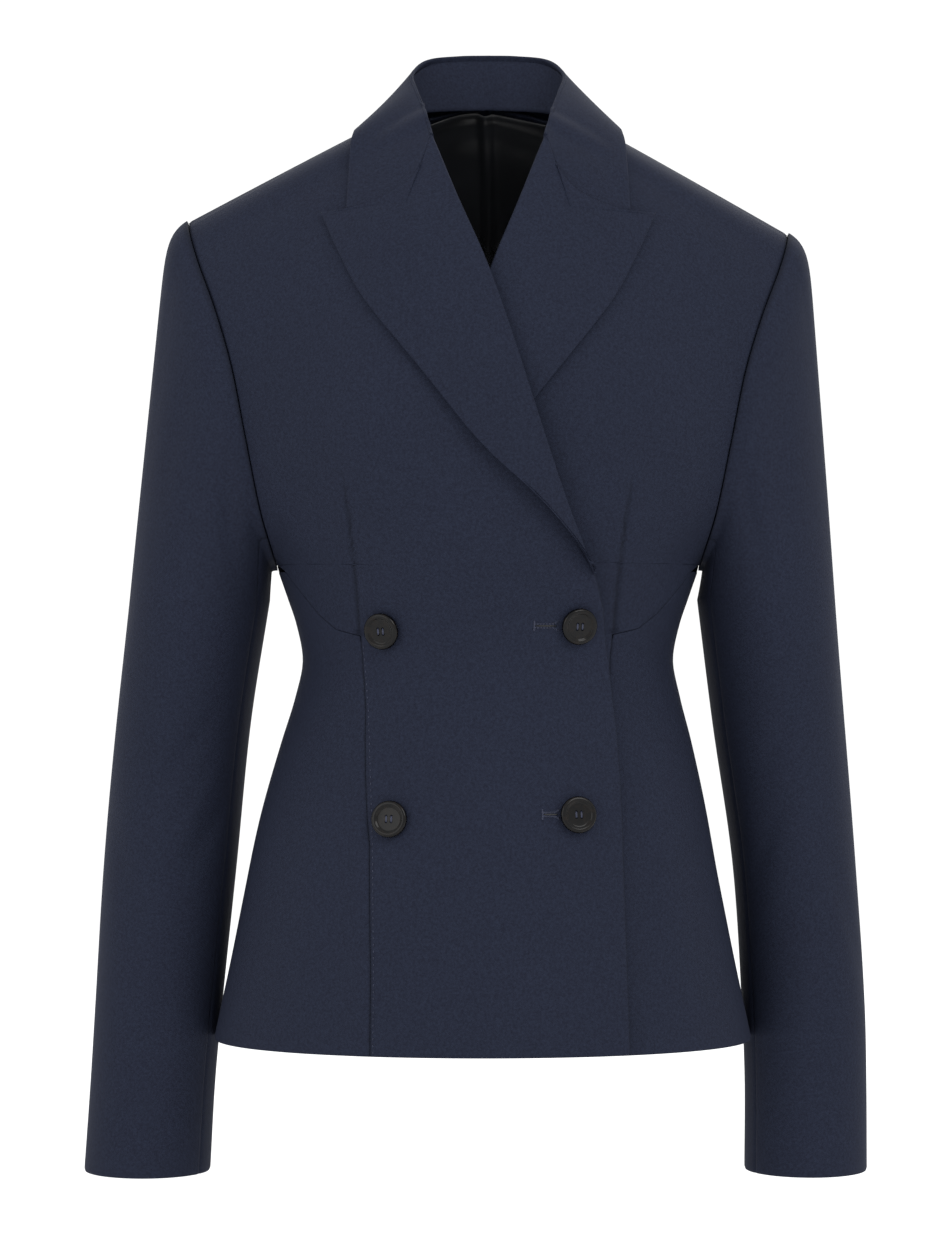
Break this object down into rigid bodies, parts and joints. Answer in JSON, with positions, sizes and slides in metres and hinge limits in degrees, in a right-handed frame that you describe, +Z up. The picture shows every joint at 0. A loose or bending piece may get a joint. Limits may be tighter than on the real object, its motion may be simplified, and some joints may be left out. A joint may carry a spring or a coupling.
{
  "type": "double breasted blazer",
  "caption": "Hip length double breasted blazer with peak lapels, nipped waist and long sleeves, worn form, hollow, open at neck, hem and cuffs.",
  "frame": {"origin": "middle of the neck opening at shoulder level, where the wearer's shoulders hold the blazer", "axes": "+Z up, -Y out of the front, +X towards the wearer's left"},
  "size_m": [0.5203, 0.2605, 0.7451],
  "materials": {
    "navy_wool": "fine matte worsted wool twill, pressed",
    "black_satin": "smooth lining satin with a soft sheen",
    "dark_horn": "polished dark horn look"
  },
  "bodies": {
    "root": {"front_right": "navy_wool", "front_left": "navy_wool", "side_front_right": "navy_wool", "side_front_left": "navy_wool", "back_right": "navy_wool", "back_left": "navy_wool", "lapel_right": "navy_wool", "lapel_left": "navy_wool", "collar_fall": "navy_wool", "collar_stand": "navy_wool", "top_sleeve_right": "navy_wool", "top_sleeve_left": "navy_wool", "under_sleeve_right": "navy_wool", "under_sleeve_left": "navy_wool", "back_lining": "black_satin", "button_right_top": "dark_horn", "button_right_low": "dark_horn", "button_left_top": "dark_horn", "button_left_low": "dark_horn"}
  },
  "joints": []
}
